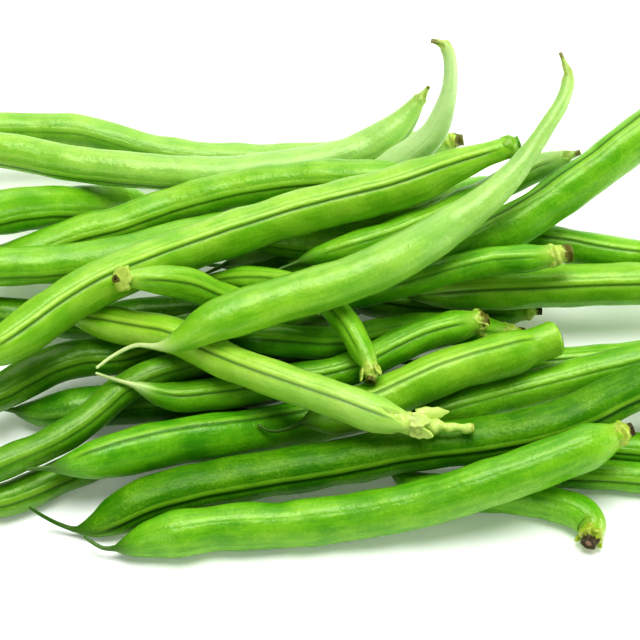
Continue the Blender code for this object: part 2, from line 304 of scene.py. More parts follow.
def cubic(at: np.ndarray, known_at: np.ndarray, known: np.ndarray,
          slopes: np.ndarray) -> np.ndarray:
    """Read a cubic curve through points with known slopes.

    Args:
        at: where to read the curve.
        known_at: rising places of the points.
        known: the points' values.
        slopes: the curve's slope at each point.

    Returns:
        The curve's values.
    """
    steps = np.diff(known_at)
    span = np.clip(np.searchsorted(known_at, at) - 1, 0, len(steps) - 1)
    t = np.clip((at - known_at[span]) / steps[span], 0.0, 1.0)
    start = (2 * t**3 - 3 * t**2 + 1) * known[span]
    start_slope = (t**3 - 2 * t**2 + t) * steps[span] * slopes[span]
    end = (3 * t**2 - 2 * t**3) * known[span + 1]
    end_slope = (t**3 - t**2) * steps[span] * slopes[span + 1]
    return start + start_slope + end + end_slope


def monotone(at: np.ndarray, known_at: np.ndarray, known: np.ndarray) -> np.ndarray:
    """Read a cubic curve that never swings past its points.

    Args:
        at: where to read the curve.
        known_at: rising places of the points.
        known: the points' values.

    Returns:
        The curve's values.
    """
    rises = np.diff(known) / np.diff(known_at)
    slopes = np.zeros_like(known)
    same = rises[:-1] * rises[1:] > 0.0
    both = rises[:-1] + rises[1:]
    harmonic = 2.0 * rises[:-1] * rises[1:] / np.where(same, both, 1.0)
    slopes[1:-1] = np.where(same, harmonic, 0.0)
    slopes[0] = rises[0]
    slopes[-1] = rises[-1]
    return cubic(at, known_at, known, slopes)


@dataclass
class PackedPod:
    """Rings, half thickness and seam direction of a pod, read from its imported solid.

    Attributes:
        node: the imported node's name.
        centres: ring centres from the stem end to the tail end.
        halves: half thickness at each ring.
        middle: number of the ring at the middle of the thick part.
        seam: unit vector towards the seam at the middle ring.
    """

    node: str
    centres: np.ndarray = field(init=False)
    halves: np.ndarray = field(init=False)
    middle: int = field(init=False)
    seam: Vector = field(init=False)

    SIDES = 10
    THICK_SHARE = 0.8
    SAME_PLANE = 0.9998
    LEAST_ROUNDNESS = 0.8

    def __post_init__(self) -> None:
        """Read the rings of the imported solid."""
        solid = bmesh.new()
        solid.from_mesh(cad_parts[self.node].data)
        bmesh.ops.remove_doubles(solid, verts=solid.verts[:], dist=MERGE_REACH)
        solid.verts.index_update()
        rings = self.rings_from(solid)
        points = [np.array([v.co[:] for v in ring]) / MILLIMETRE for ring in rings]
        solid.free()
        self.centres = np.array([p.mean(axis=0) for p in points])
        reach = [np.linalg.norm(p - c, axis=1) for p, c in zip(points, self.centres)]
        self.halves = np.array([np.median(r) for r in reach]) / (0.5 + 0.5 * SIDE_FLATNESS)
        thick = np.where(self.halves > self.THICK_SHARE * self.halves.max())[0]
        self.middle = int(thick[len(thick) // 2])
        top = int(np.argmax(reach[self.middle] / self.halves[self.middle]))
        self.seam = Vector(points[self.middle][top] - self.centres[self.middle]).normalized()

    def rings_from(self, solid: bmesh.types.BMesh) -> List[List[bmesh.types.BMVert]]:
        """Sort a pod's vertices into rings, from the stem end on.

        Args:
            solid: the pod as a merged mesh.

        Returns:
            The rings, each a list of its vertices.
        """
        ring = max(self.end_caps(solid), key=self.ring_width)
        seen = set(ring)
        rings = []
        while ring:
            rings.append(sorted(ring, key=lambda v: v.index))
            ring = {e.other_vert(v) for v in ring for e in v.link_edges} - seen
            seen |= ring
        return rings

    @staticmethod
    def ring_width(ring: Sequence[bmesh.types.BMVert]) -> float:
        """Widest distance from the first vertex of a ring to another one."""
        first = min(ring, key=lambda v: v.index)
        return max((v.co - first.co).length for v in ring)

    def end_caps(self, solid: bmesh.types.BMesh) -> List[Set[bmesh.types.BMVert]]:
        """Find the two flat round ends of a pod.

        Args:
            solid: the pod as a merged mesh.

        Returns:
            The vertices of each end.
        """
        solid.normal_update()
        caps = []
        seen = set()
        for face in solid.faces:
            if face in seen:
                continue
            patch = self.flat_patch(face)
            seen |= patch
            corners = {v for f in patch for v in f.verts}
            rim = sum(e.calc_length() for f in patch for e in f.edges
                      if sum(g in patch for g in e.link_faces) == 1)
            area = sum(f.calc_area() for f in patch)
            roundness = 4.0 * math.pi * area / max(rim * rim, 1e-18)
            if len(corners) == self.SIDES and roundness > self.LEAST_ROUNDNESS:
                caps.append((roundness, corners))
        caps.sort(key=lambda cap: -cap[0])
        return [corners for _, corners in caps[:2]]

    def flat_patch(self, face: bmesh.types.BMFace) -> Set[bmesh.types.BMFace]:
        """Gather the faces that join a face in its own plane.

        Args:
            face: the first face.

        Returns:
            The faces of the patch.
        """
        patch = {face}
        waiting = [face]
        while waiting:
            for edge in waiting.pop().edges:
                for near in edge.link_faces:
                    if near not in patch and near.normal.dot(face.normal) > self.SAME_PLANE:
                        patch.add(near)
                        waiting.append(near)
        return patch


@dataclass
class PodLine:
    """A pod's line, finely divided, with its directions and the places of its parts.

    Attributes:
        packed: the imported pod's rings.
        known_at: distance of each packed ring from the stem end.
        halves: half thickness at each packed ring.
        at: distance of each fine point from the stem end.
        centres: the fine points.
        tangents: unit vectors along the pod at the fine points.
        seams: unit vectors towards the seam.
        sides: unit vectors towards one flank.
        low_side: 1 or -1, for the side of the seam that is nearer to the floor.
        stalk_end: where the stalk ends.
        collar_end: where the collar ends.
        neck_at: where the pod's body starts.
        tail_at: where the thread-like tail starts.
        cut_half: half thickness of the stalk.
        collar_half: half thickness of the collar.
        neck_half: half thickness where the body starts.
    """

    packed: PackedPod
    known_at: np.ndarray = field(init=False)
    halves: np.ndarray = field(init=False)
    at: np.ndarray = field(init=False)
    centres: np.ndarray = field(init=False)
    tangents: np.ndarray = field(init=False)
    seams: np.ndarray = field(init=False)
    sides: np.ndarray = field(init=False)
    low_side: float = field(init=False)
    stalk_end: float = field(init=False)
    collar_end: float = field(init=False)
    neck_at: float = field(init=False)
    tail_at: float = field(init=False)
    cut_half: float = field(init=False)
    collar_half: float = field(init=False)
    neck_half: float = field(init=False)

    FINE_POINTS = 500
    STEM_RINGS = 6
    THIN_HALF = 0.85

    def __post_init__(self) -> None:
        """Divide the line finely and carry the seam's direction along it."""
        centres = self.packed.centres
        steps = np.linalg.norm(np.diff(centres, axis=0), axis=1)
        self.known_at = np.concatenate([[0.0], np.cumsum(steps)])
        self.halves = self.packed.halves.copy()
        self.at = np.linspace(0.0, self.length, self.FINE_POINTS)
        self.centres = np.stack([
            cubic(self.at, self.known_at, known, np.gradient(known, self.known_at))
            for known in centres.T
        ], axis=1)
        tangents = np.gradient(self.centres, axis=0)
        self.tangents = tangents / np.linalg.norm(tangents, axis=1)[:, None]
        start = int(np.searchsorted(self.at, self.known_at[self.packed.middle]))
        self.seams = np.zeros_like(self.centres)
        for order in (range(start, len(self.at)), range(start, -1, -1)):
            held = self.packed.seam.copy()
            for i in order:
                tangent = Vector(self.tangents[i])
                held = (held - tangent * held.dot(tangent)).normalized()
                self.seams[i] = held
        self.sides = np.cross(self.tangents, self.seams)
        self.low_side = 1.0 if self.sides[start][2] < 0.0 else -1.0
        self.find_parts()

    @property
    def length(self) -> float:
        """The pod's length along its line."""
        return self.known_at[-1]

    def find_parts(self) -> None:
        """Find where the stalk, the collar and the body end, and how thick they are."""
        rise = np.diff(self.halves[:self.STEM_RINGS]) / np.diff(self.known_at[:self.STEM_RINGS])
        step = int(np.argmax(rise))
        self.stalk_end = self.known_at[step + 1]
        self.collar_end = self.known_at[step + 2]
        self.neck_at = self.known_at[step + 3]
        self.cut_half = float(np.median(self.halves[:step + 1]))
        self.collar_half = float(self.halves[step + 1])
        self.neck_half = float(self.halves[step + 3])
        near = len(self.halves) // 2
        thin = np.where(self.halves[near:] < self.THIN_HALF)[0]
        self.tail_at = self.known_at[thin[0] + near if len(thin) else len(self.halves) - 2]

    def widen_neck(self, swell: float) -> None:
        """Widen the neck, and let no ring on the stem's half of the pod be thinner than it.

        Args:
            swell: how many times wider the neck gets.
        """
        self.neck_half *= swell
        near = len(self.halves) // 2
        self.halves[:near] = np.maximum(self.halves[:near], self.neck_half)

    def turn_stem(self, facing: Place) -> None:
        """Turn the last millimetres of the stem end.

        Args:
            facing: the direction that the stem's cut is to face.
        """
        reach = self.neck_at + 1.0
        target = Vector(facing).normalized()
        for i in range(int(np.searchsorted(self.at, reach))):
            share = 1.0 - self.at[i] / reach
            share = share * share * (3.0 - 2.0 * share)
            whole = Vector(-self.tangents[i]).rotation_difference(target)
            part = Quaternion().slerp(whole, share)
            self.seams[i] = part @ Vector(self.seams[i])
            self.sides[i] = part @ Vector(self.sides[i])

    def read(self, rows: np.ndarray, along: np.ndarray) -> np.ndarray:
        """Read points or directions of the fine line.

        Args:
            rows: one point or direction for each fine point.
            along: distances from the stem end.

        Returns:
            The point or direction at each distance.
        """
        return np.stack([np.interp(along, self.at, rows[:, k]) for k in range(3)], axis=1)


@dataclass
class Pod:
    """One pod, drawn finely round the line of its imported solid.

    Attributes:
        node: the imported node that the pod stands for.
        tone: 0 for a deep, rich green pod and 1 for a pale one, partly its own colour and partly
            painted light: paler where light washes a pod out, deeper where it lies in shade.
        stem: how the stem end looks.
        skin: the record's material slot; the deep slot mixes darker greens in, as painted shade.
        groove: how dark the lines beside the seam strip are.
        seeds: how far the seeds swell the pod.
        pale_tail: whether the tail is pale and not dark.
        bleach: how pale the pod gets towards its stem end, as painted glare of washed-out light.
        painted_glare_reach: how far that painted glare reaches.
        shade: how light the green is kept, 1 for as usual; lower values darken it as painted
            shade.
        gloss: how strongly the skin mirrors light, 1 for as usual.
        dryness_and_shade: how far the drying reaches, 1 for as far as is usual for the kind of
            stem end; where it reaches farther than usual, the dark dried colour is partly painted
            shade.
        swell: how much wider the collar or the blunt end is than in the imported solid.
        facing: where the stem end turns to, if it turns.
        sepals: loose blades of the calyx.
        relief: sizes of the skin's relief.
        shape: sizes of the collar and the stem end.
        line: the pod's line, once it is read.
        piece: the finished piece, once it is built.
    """

    node: str
    tone: float = 0.4
    stem: StemEnd = StemEnd.CUT
    skin: Skin = Skin.FRESH
    groove: float = 0.8
    seeds: float = 0.12
    pale_tail: bool = False
    bleach: float = 0.0
    painted_glare_reach: float = 40.0
    shade: float = 1.0
    gloss: float = 1.0
    dryness_and_shade: float = 1.0
    swell: float = 1.0
    facing: Optional[Place] = None
    sepals: Tuple[Sepal, ...] = ()
    relief: Relief = Relief()
    shape: StemShape = StemShape()
    line: PodLine = field(init=False)
    piece: bpy.types.Object = field(init=False)

    # How many points go round the pod, and how much closer together they lie beside the seam.
    COLUMNS = 60
    SEAM_CROWDING = 0.62
    # Rings of the stem's cut and of the tail's tip: distance from the end and share of the half
    # thickness.
    CUT_RINGS = ((0.25, 0.0), (0.25, 0.3), (0.2, 0.6), (0.05, 0.84), (0.0, 0.95), (0.06, 1.0))
    TIP_RINGS = ((0.1, 0.8), (0.0, 0.45), (0.0, 0.0))
    # Close rings reach from the first one to a little past the neck. The body's lie wider apart,
    # and the tail's leave a small gap before the tip.
    FIRST_RING = 0.25
    PAST_NECK = 3.0
    STEM_STEP = 0.22
    BODY_STEP = 1.1
    LEAST_BODY_RINGS = 30
    TAIL_RINGS = 16
    TIP_GAP = 0.3
    # How deep the stem's cut is, and up to which share of the half thickness it reaches.
    CUT_DEPTH = 0.3
    CUT_RIM = 0.97
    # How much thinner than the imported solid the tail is.
    TAIL_THINNING = 0.28
    # Where the painted glare starts to fade, as a share of its reach.
    PAINTED_GLARE_START = 0.15
    # Centimetres in a millimetre.
    MAP_SCALE = 0.1
    BLADE_THICKNESS = 0.5
    # How far from the pod's line a blade's foot is, as a share of the half thickness.
    FOOT_SHARE = 0.85
    # How dry the skin of a blade is, as a distance from the stem's cut.
    BLADE_DRYNESS = 2.6

    def build(self) -> bpy.types.Object:
        """Draw the pod and dress it.

        Returns:
            The finished piece.
        """
        self.line = PodLine(PackedPod(self.node))
        if self.stem is StemEnd.BLUNT:
            self.line.widen_neck(self.swell)
        if self.facing:
            self.line.turn_stem(self.facing)
        rows, factors = self.row_places()
        turns = self.column_turns()
        self.piece = self.sheet_of(len(rows), len(turns))
        self.wrap(rows, factors, turns)
        self.close_up()
        for sepal in self.sepals:
            self.add_sepal(sepal)
        self.piece.data.materials.append(PodSkin.of(self).material())
        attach(self.piece, "root")
        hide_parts(self.node)
        log.info("%s: %d rings by %d sides", self.node, len(rows), len(turns))
        return self.piece

    def row_places(self) -> Tuple[np.ndarray, np.ndarray]:
        """Choose where the rings of the fine skin lie.

        Returns:
            Distances along the pod, and how much of the half thickness each ring has.
        """
        length, tail_at = self.line.length, self.line.tail_at
        stem = np.arange(
            self.FIRST_RING, self.line.neck_at + self.PAST_NECK, self.STEM_STEP)
        count = max(self.LEAST_BODY_RINGS, round((tail_at - stem[-1]) / self.BODY_STEP))
        body = np.linspace(stem[-1], tail_at, count)[1:]
        tail = np.linspace(tail_at, length - self.TIP_GAP, self.TAIL_RINGS)[1:]
        full = np.concatenate([stem, body, tail])
        places = [at for at, _ in self.CUT_RINGS] + list(full)
        places += [length - before for before, _ in self.TIP_RINGS]
        factors = [share for _, share in self.CUT_RINGS] + [1.0] * len(full)
        factors += [share for _, share in self.TIP_RINGS]
        return np.array(places), np.array(factors)

    def column_turns(self) -> np.ndarray:
        """Angles round the pod, closer together beside the seam."""
        even = np.linspace(-math.pi, math.pi, self.COLUMNS + 1)
        return even - self.SEAM_CROWDING * np.sin(even)

    def sheet_of(self, rows: int, columns: int) -> bpy.types.Object:
        """Add the flat sheet that is wrapped round the pod.

        Args:
            rows: how many rings.
            columns: how many points in each ring.

        Returns:
            The sheet, which reaches from -1 to 1 both ways.
        """
        bpy.ops.object.select_all(action="DESELECT")
        bpy.ops.mesh.primitive_grid_add(
            x_subdivisions=columns - 1, y_subdivisions=rows - 1, size=2.0)
        piece = bpy.context.active_object
        piece.name = self.node + "_skin"
        piece.data.name = piece.name
        return piece

    @staticmethod
    def numbered(places: np.ndarray, count: int) -> np.ndarray:
        """Number the sheet's points along one side, from their places between -1 and 1."""
        return np.rint((places + 1.0) * 0.5 * (count - 1)).astype(int)

    def wrap(self, rows: np.ndarray, factors: np.ndarray, turns: np.ndarray) -> None:
        """Wrap the sheet round the pod's line and note where each point lies.

        Args:
            rows: distance of each ring from the stem end.
            factors: how much of the half thickness each ring has.
            turns: angle of each point from the seam.
        """
        mesh = self.piece.data
        flat = np.zeros(len(mesh.vertices) * 3)
        mesh.vertices.foreach_get("co", flat)
        flat = flat.reshape(-1, 3)
        row = self.numbered(flat[:, 1], len(rows))
        along = rows[row]
        turn = turns[self.numbered(flat[:, 0], len(turns))]
        share = factors[row]
        half, masks = self.skin_at(along, turn)
        half = half * share
        seam = self.line.read(self.line.seams, along)
        side = self.line.read(self.line.sides, along)
        spots = self.line.read(self.line.centres, along) + seam * (half * np.cos(turn))[:, None]
        spots += side * (half * SIDE_FLATNESS * np.sin(turn))[:, None]
        spots[:, 2] = np.clip(spots[:, 2], 0.0, None)
        mesh.vertices.foreach_set("co", (spots * MILLIMETRE).ravel())
        in_cut = (along < self.CUT_DEPTH) & (share < self.CUT_RIM)
        masks["face"] = np.where(in_cut, 1.0 - share, 0.0)
        masks["stem"] = along
        for name, values in masks.items():
            layer = mesh.attributes.new(name, "FLOAT", "POINT")
            layer.data.foreach_set("value", values.astype(np.float32))
        self.lay_map(mesh, along, turn)
        mesh.update()

    def lay_map(self, mesh: bpy.types.Mesh, along: np.ndarray, turn: np.ndarray) -> None:
        """Lay the UV map: U runs round the pod and V from stem to tail, in centimetres.

        Args:
            mesh: the wrapped sheet.
            along: distance of each vertex from the stem end.
            turn: angle of each vertex from the seam.
        """
        corners = np.zeros(len(mesh.loops), int)
        mesh.loops.foreach_get("vertex_index", corners)
        across = turn[corners] * self.line.halves.max() * self.MAP_SCALE
        up = along[corners] * self.MAP_SCALE
        spots = np.stack([across, up], axis=1).astype(np.float32)
        mesh.uv_layers[0].data.foreach_set("uv", spots.ravel())

    def skin_at(self, along: np.ndarray,
                turn: np.ndarray) -> Tuple[np.ndarray, Dict[str, np.ndarray]]:
        """Shape the skin, with its relief.

        Args:
            along: distances from the stem end.
            turn: angles from the seam.

        Returns:
            The half thickness at each point, and the masks that the finish reads.
        """
        line, relief = self.line, self.relief
        body = line.known_at >= line.neck_at - 0.01
        half = monotone(
            np.clip(along, line.neck_at, None), line.known_at[body], line.halves[body])
        edge = self.calyx_edge(along, turn)
        calyx = 1.0 - smooth_step(along - edge, *self.shape.edge_step)
        half = half * (1.0 - calyx) + self.stem_half(along, turn) * calyx
        arc = turn * half
        full = smooth_step(along, line.neck_at, line.neck_at + relief.rises)
        full = full * (1.0 - smooth_step(
            along, line.tail_at - relief.falls[0], line.tail_at - relief.falls[1]))
        strip = 1.0 - smooth_step(
            np.abs(arc), relief.strip_half, relief.strip_half + relief.strip_edge)
        low_arc = arc * line.low_side
        lines = bump(low_arc, relief.line_at, relief.line_half + relief.line_spread * self.groove)
        lines += relief.upper_line * bump(low_arc, -relief.line_at, relief.line_half)
        banks = bump(np.abs(arc), relief.bank_at, relief.bank_half)
        back_line = bump((math.pi - np.abs(turn)) * half, 0.0, relief.back_half)
        marked = full * min(1.0, relief.plain_share + (1.0 - relief.plain_share) * self.groove)
        rise = marked * (relief.strip_rise * strip - relief.line_depth * lines
                         + relief.bank_rise * banks)
        rise -= marked * relief.back_depth * back_line
        phase = 2.0 * math.pi * along / relief.seed_step + self.tone * relief.seed_shift
        flank = bump(np.abs(turn), relief.seed_turn, relief.seed_half)
        rise += full * self.seeds * flank * np.cos(phase)
        wobble = sum(wave.over(along, turn, self.tone) for wave in relief.waves)
        half = half + rise + full * wobble
        after = smooth_step(along, line.tail_at - 0.5, line.tail_at + 2.0)
        half = half * (1.0 - self.TAIL_THINNING * after)
        masks = {
            "calyx": calyx,
            "strip": strip * marked,
            "line": np.clip(lines + relief.back_share * back_line, 0.0, 1.0) * full,
            "fade": 1.0 - smooth_step(along - edge, 0.0, self.shape.fade),
            # Painted glare: paler towards the stem end, as if washed out by light.
            "bleach": 1.0 - smooth_step(
                along, self.PAINTED_GLARE_START * self.painted_glare_reach, self.painted_glare_reach),
            "thread": smooth_step(along, line.tail_at - 5.0, line.tail_at + 1.0),
        }
        return half, masks

    def calyx_edge(self, along: np.ndarray, turn: np.ndarray) -> np.ndarray:
        """Find the lobed or torn edge of the collar.

        Args:
            along: distances from the stem end.
            turn: angles from the seam.

        Returns:
            The edge's distance from the stem end at each angle.
        """
        shape = self.shape
        lobe = np.abs(np.cos(0.5 * shape.lobes * turn)) ** shape.lobe_power
        size = min(1.0, self.line.neck_half / shape.full_neck)
        edge = self.line.collar_end - shape.set_back + shape.lobe_length * lobe * size
        if self.stem is StemEnd.RAGGED:
            edge = edge + shape.torn_reach
            for wave in shape.torn_edge:
                edge = edge + wave.over(along, turn)
        return edge

    def stem_half(self, along: np.ndarray, turn: np.ndarray) -> np.ndarray:
        """Half thickness of the stalk and the collar.

        Args:
            along: distances from the stem end.
            turn: angles from the seam.

        Returns:
            The half thickness at each point.
        """
        line, shape = self.line, self.shape
        if self.stem is StemEnd.BLUNT:
            drop = np.clip(1.0 - along / shape.blunt_length, 0.0, 1.0)
            uneven = 1.0 + shape.blunt_wave.over(along, turn) * drop
            rounding = (1.0 - shape.blunt_face) * np.sqrt(1.0 - drop * drop)
            return line.neck_half * (shape.blunt_face + rounding) * uneven
        if self.stem is StemEnd.WITHERED:
            thin = shape.withered_thin * line.cut_half
            taper = thin + (line.neck_half - thin) * smooth_step(along, 0.3, line.neck_at + 0.5)
            return taper * (1.0 + shape.withered_wave.over(along, turn))
        wide = line.collar_half * self.swell
        if self.stem is StemEnd.RAGGED:
            return self.ragged_half(along, turn, wide)
        before, after = shape.flare
        collar = line.cut_half + (wide - line.cut_half) * smooth_step(
            along, line.stalk_end - before, line.stalk_end + after)
        ribs = 1.0 + shape.rib_rise * np.cos(shape.ribs * turn + 0.6) * (
            1.0 - smooth_step(along, 0.0, line.stalk_end))
        if self.stem in (StemEnd.CUT, StemEnd.PALE):
            for wave in shape.stalk_waves:
                ribs = ribs + wave.over(along, turn)
        return collar * ribs

    def ragged_half(self, along: np.ndarray, turn: np.ndarray, wide: float) -> np.ndarray:
        """Half thickness of a long, knotted stalk that widens into a torn collar.

        Args:
            along: distances from the stem end.
            turn: angles from the seam.
            wide: the collar's half thickness.

        Returns:
            The half thickness at each point.
        """
        shape = self.shape
        thin = self.line.cut_half * shape.ragged_thin
        spread = smooth_step(along, 0.25 * self.line.stalk_end, self.line.stalk_end)
        bent = np.sin(1.9 * along + 1.4 * np.sin(turn + 1.0))
        knots = shape.knot_rise * bent * (1.0 - 0.6 * spread)
        knots += shape.knot_wave.over(along, turn)
        knots += shape.knob_rise * bump(along, *shape.knob_at)
        return (thin + (wide - thin) * spread**shape.ragged_power) * (1.0 + knots)

    def add_sepal(self, sepal: Sepal) -> None:
        """Model one blade and join it to the pod.

        Args:
            sepal: the blade's place and shape.
        """
        bpy.ops.object.select_all(action="DESELECT")
        bpy.ops.mesh.primitive_grid_add(x_subdivisions=8, y_subdivisions=12, size=1.0)
        blade = bpy.context.active_object
        blade.name = self.node + "_sepal"
        for vertex in blade.data.vertices:
            vertex.co = self.blade_point(sepal, vertex.co)
        thick = blade.modifiers.new("thick", "SOLIDIFY")
        thick.thickness = self.BLADE_THICKNESS
        thick.offset = 0.0
        bpy.ops.object.modifier_apply(modifier="thick")
        bpy.ops.object.shade_smooth()
        for name, value in (("calyx", 1.0), ("stem", self.BLADE_DRYNESS)):
            layer = blade.data.attributes.new(name, "FLOAT", "POINT")
            layer.data.foreach_set("value", [value] * len(blade.data.vertices))
        blade.matrix_world = self.place_of(sepal)
        self.piece.select_set(True)
        bpy.context.view_layer.objects.active = self.piece
        bpy.ops.object.join()

    @staticmethod
    def blade_point(sepal: Sepal, flat: Vector) -> Vector:
        """Shape one point of a blade: wide at the foot, pointed, ragged and curled.

        Args:
            sepal: the blade's place and shape.
            flat: the point's place on a flat sheet from -0.5 to 0.5.

        Returns:
            Its place across the blade, along it and out of it.
        """
        up = flat.y + 0.5
        spread = math.sin(math.pi * min(1.0, 0.34 + 0.66 * up)) ** 0.8
        ragged = 1.0 + 0.22 * math.sin(17.0 * up + sepal.turn) * up
        across = flat.x * (spread * 0.95 + 0.05) * ragged
        curl = 0.22 * up * up + 0.35 * across * across
        return Vector((across * sepal.width, up * sepal.length, curl * sepal.length))

    def place_of(self, sepal: Sepal) -> Matrix:
        """Find where a blade stands, its foot sunk a little into the skin.

        Args:
            sepal: the blade's place and shape.

        Returns:
            The blade's matrix, from millimetres to metres.
        """
        i = int(np.searchsorted(self.line.at, sepal.at))
        turn = math.radians(sepal.turn)
        seam, side = Vector(self.line.seams[i]), Vector(self.line.sides[i])
        out = seam * math.cos(turn) + side * math.sin(turn)
        to_stem = -Vector(self.line.tangents[i])
        lean = math.radians(sepal.lean)
        length = to_stem * math.cos(lean) + out * math.sin(lean)
        flat = out * math.cos(lean) - to_stem * math.sin(lean)
        across = length.cross(flat)
        if sepal.on_edge:
            across, flat = flat, -across
        half = float(self.skin_at(np.array([sepal.at]), np.array([turn]))[0][0])
        foot = Vector(self.line.centres[i]) + out * half * self.FOOT_SHARE
        turned = Matrix((across, length, flat)).transposed().to_4x4()
        return Matrix.Scale(MILLIMETRE, 4) @ Matrix.Translation(foot) @ turned

    def close_up(self) -> None:
        """Join the sheet's long edges and its ends, point it outwards and shade it smooth."""
        bpy.ops.object.select_all(action="DESELECT")
        self.piece.select_set(True)
        bpy.context.view_layer.objects.active = self.piece
        bpy.ops.object.mode_set(mode="EDIT")
        bpy.ops.mesh.select_all(action="SELECT")
        bpy.ops.mesh.remove_doubles(threshold=MERGE_REACH)
        bpy.ops.mesh.normals_make_consistent(inside=False)
        bpy.ops.object.mode_set(mode="OBJECT")
        bpy.ops.object.shade_smooth()


@dataclass(frozen=True)
class DriedEnd:
    """Colours of a stem's cut.

    Attributes:
        dry: the skin next to the cut.
        heart: the middle of the cut.
        reach: how far the drying reaches from the cut.
    """

    dry: Colour
    heart: Colour
    reach: float


DRIED_ENDS = {
    StemEnd.CUT: DriedEnd((0.05, 0.03, 0.006), (0.34, 0.22, 0.14), 1.5),
    StemEnd.PALE: DriedEnd((0.13, 0.12, 0.012), (0.012, 0.014, 0.004), 2.4),
    StemEnd.WITHERED: DriedEnd((0.22, 0.20, 0.06), (0.10, 0.08, 0.03), 2.0),
    StemEnd.GREEN: DriedEnd((0.08, 0.24, 0.004), (0.03, 0.09, 0.004), 1.0),
    StemEnd.RAGGED: DriedEnd((0.40, 0.46, 0.10), (0.62, 0.66, 0.30), 1.0),
    StemEnd.BLUNT: DriedEnd((0.16, 0.26, 0.03), (0.05, 0.08, 0.01), 0.5),
}


@dataclass(frozen=True)
class Cloud:
    """A cloudy noise pattern.

    Attributes:
        scale: how fine it is.
        detail: how many finer layers it has.
        rough: how strong those layers are.
    """

    scale: float
    detail: float
    rough: float


@dataclass(frozen=True)
class SkinPattern:
    """The patterns that a skin's colours and its relief share.

    Attributes:
        place: the point on the piece.
        broad: broad clouds.
        fine: fine clouds.
        streaks: streaks along the pod.
        grain: the finest grain.
    """

    place: Socket
    broad: Socket
    fine: Socket
    streaks: Socket
    grain: Socket

    BROAD = Cloud(130.0, 3.0, 0.55)
    FINE = Cloud(900.0, 4.0, 0.6)
    STREAKS = Cloud(1.0, 3.0, 0.6)
    STREAK_STRETCH = (9.0, 0.9, 1.0)
    GRAIN = Cloud(1700.0, 2.0, 0.7)

    @classmethod
    def of(cls, book: "NodeBook") -> "SkinPattern":
        """Add the patterns to a material.

        Args:
            book: the material's nodes.

        Returns:
            The patterns.
        """
        place = book.coordinates("Object")
        return cls(
            place=place,
            broad=book.noise(place, cls.BROAD),
            fine=book.noise(place, cls.FINE),
            streaks=book.noise(book.stretched("UV", cls.STREAK_STRETCH), cls.STREAKS),
            grain=book.noise(place, cls.GRAIN),
        )


